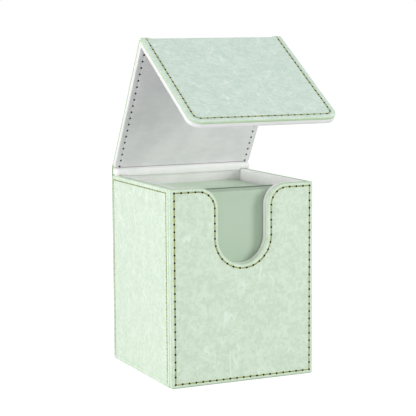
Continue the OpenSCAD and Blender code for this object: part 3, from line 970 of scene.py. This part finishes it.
# The divider's dark green is painted shade for the gap between the two packets
divider_painted_shade = card_material("divider_painted_shade", (128, 148, 126), (112, 132, 110))


def make_card_tree():
    """A row of standing cards with rounded corners, each a little higher or further over."""
    tree, names, get, result = shape_tree(
        "standing_cards", ("Start", "Geometry", None), ("Card Width", "Float", 0.068),
        ("Card Height", "Float", 0.092), ("Card Thickness", "Float", 0.0006), ("Corner", "Float", 0.003),
        ("Cards", "Int", 20), ("Spacing", "Float", 0.00063), ("Stray", "Float", 0.0003),
        ("Drop", "Float", 0.0008), ("Seed", "Int", 3), ("Finish", "Material", None))
    outline = shape_node(tree, "CurvePrimitiveQuadrilateral", Width=get["Card Width"], Height=get["Card Height"])
    rounded = shape_node(tree, "FilletCurve", {"mode": "POLY"}, Curve=outline, Count=3, Radius=get["Corner"])
    rise = shape_node(tree, "CurvePrimitiveLine", _1=vector_of(tree, Z=get["Card Thickness"]))
    plate = shape_node(tree, "CurveToMesh", Curve=rise, Profile_Curve=rounded, Fill_Caps=True)
    upright = shape_node(tree, "Transform", Geometry=plate, Rotation=(math.radians(90), 0, 0))
    row = shape_node(tree, "MeshLine", Count=get["Cards"], Offset=vector_of(tree, Y=get["Spacing"]))
    low = vector_of(tree, X=do_maths(tree, "MULTIPLY", get["Stray"], -1.0),
                    Z=do_maths(tree, "MULTIPLY", get["Drop"], -1.0))
    shift = add_node(tree, "FunctionNodeRandomValue", {"data_type": "FLOAT_VECTOR"}, Seed=get["Seed"], _0=low,
                     _1=vector_of(tree, X=get["Stray"]))
    strewn = shape_node(tree, "SetPosition", Geometry=row, Offset=shift.outputs[0])
    cards = shape_node(tree, "InstanceOnPoints", Points=strewn, Instance=upright)
    tone = add_node(tree, "FunctionNodeRandomValue", {"data_type": "FLOAT"}, Seed=get["Seed"])
    toned = shape_node(tree, "StoreNamedAttribute", {"data_type": "FLOAT", "domain": "INSTANCE"}, Geometry=cards,
                       Name="card_tone", Value=tone.outputs[1])
    real = shape_node(tree, "RealizeInstances", Geometry=toned)
    tree.links.new(shape_node(tree, "SetMaterial", Geometry=real, Material=get["Finish"]), result)
    return tree, names


card_tree, card_inputs = make_card_tree()
for name, node, body, count, corner, stray, drop, finish, slot in (
        ("front_packet_cards", "front_packet", "packet", 19, 2.2, 0.12, 0.12, green_sleeves, "card_sleeves"),
        ("divider_sheet", "deck_divider", "divider", 1, 2.5, 0.0, 0.0, divider_painted_shade, "divider_card"),
        ("main_deck_cards", "main_deck", "deck", 88, 2.2, 0.2, 0.14, deck_sleeves_painted_light, "card_sleeves")):
    low, high = size_of(node)
    spacing = (high.y - low.y) / count
    blank = bpy.data.meshes.new(name + "_start")
    blank.from_pydata([(0, 0, 0)], [], [])
    cards = grow(name, blank, card_tree, card_inputs,
                 {"Card Width": (high.x - low.x - 2 * stray) * MM, "Card Height": (high.z - low.z) * MM,
                  "Card Thickness": spacing * 0.97 * MM, "Corner": corner * MM, "Cards": count,
                  "Spacing": spacing * MM, "Stray": stray * MM, "Drop": drop * MM, "Seed": 3 + count,
                  "Finish": finish})
    place = Vector((0, low.y + spacing, (low.z + high.z) / 2)) * MM
    for vert in cards.data.vertices:
        vert.co += place
        vert.co.z = max(vert.co.z, low.z * MM)
    fit_piece(cards, body, node)

# ---------------------------------------------------------------------------------------
# Table, light and camera. A plain white table in a bright, even studio, with one soft light
# low on the left of the box and a weaker one in front of it on the right.
# ---------------------------------------------------------------------------------------
floor_mesh = bpy.data.meshes.new("table_top")
floor_mesh.from_pydata([(-3, -3, 0), (3, -3, 0), (3, 3, 0), (-3, 3, 0)], [], [(0, 1, 2, 3)])
table_top = new_object("table_top", floor_mesh)
table_white = bpy.data.materials.new("table_white")
table_white.use_nodes = True
white_shader = table_white.node_tree.nodes["Principled BSDF"]
white_shader.inputs["Base Color"].default_value = (0.68, 0.68, 0.68, 1)
white_shader.inputs["Roughness"].default_value = 0.9
white_shader.inputs["Specular IOR Level"].default_value = 0.0
white_shader.inputs["Emission Color"].default_value = (1, 1, 1, 1)
looked_at = add_node(table_white.node_tree, "ShaderNodeLightPath").outputs["Is Camera Ray"]
table_white.node_tree.links.new(do_maths(table_white.node_tree, "MULTIPLY", looked_at, 0.6),
                                white_shader.inputs["Emission Strength"])
floor_mesh.materials.append(table_white)

studio = bpy.data.worlds.new("studio")
studio.use_nodes = True
bpy.context.scene.world = studio
sky = studio.node_tree
backdrop = sky.nodes["Background"]
backdrop.inputs["Color"].default_value = (0.665, 0.69, 0.68, 1)
backdrop.inputs["Strength"].default_value = 1.0
seen = sky.nodes.new("ShaderNodeBackground")
seen.inputs["Color"].default_value = (1, 1, 1, 1)
rays = sky.nodes.new("ShaderNodeLightPath")
pick = sky.nodes.new("ShaderNodeMixShader")
sky.links.new(rays.outputs["Is Camera Ray"], pick.inputs[0])
sky.links.new(backdrop.outputs[0], pick.inputs[1])
sky.links.new(seen.outputs[0], pick.inputs[2])
sky.links.new(pick.outputs[0], sky.nodes["World Output"].inputs["Surface"])


def soft_light(name, place, aim, size, power, tint):
    lamp = bpy.data.lights.new(name, "AREA")
    lamp.shape = "DISK"
    lamp.size = size
    lamp.energy = power
    lamp.color = tint
    made = new_object(name, lamp)
    made.location = place
    made.rotation_euler = (Vector(aim) - Vector(place)).to_track_quat("-Z", "Y").to_euler()


box_middle = (0, 0, 0.08)
soft_light("left_softbox", (-1.55, -0.2, 0.12), box_middle, 0.5, 16.8, (1.0, 0.95, 1.01))
soft_light("right_softbox", (1.0, -1.1, 0.5), box_middle, 0.6, 9.4, (1.0, 1.0, 1.0))

lens = bpy.data.cameras.new("camera")
lens.lens = 127.97
lens.sensor_width = 36
lens.clip_start, lens.clip_end = 0.05, 20
camera = new_object("camera", lens)
aim = Vector((0.00088, 0.00452, 0.0869))
camera_distance = 0.811
camera_yaw, camera_pitch, camera_roll = (math.radians(a) for a in (24.89, 7.303, -0.348))
ahead = Vector((math.sin(camera_yaw) * math.cos(camera_pitch), math.cos(camera_yaw) * math.cos(camera_pitch),
                -math.sin(camera_pitch)))
camera.location = aim - ahead * camera_distance
camera.rotation_mode = "QUATERNION"
level = ahead.to_track_quat("-Z", "Y")
camera.rotation_quaternion = level @ Quaternion((0, 0, 1), camera_roll)
bpy.context.scene.camera = camera
bpy.context.scene.view_settings.view_transform = "Standard"
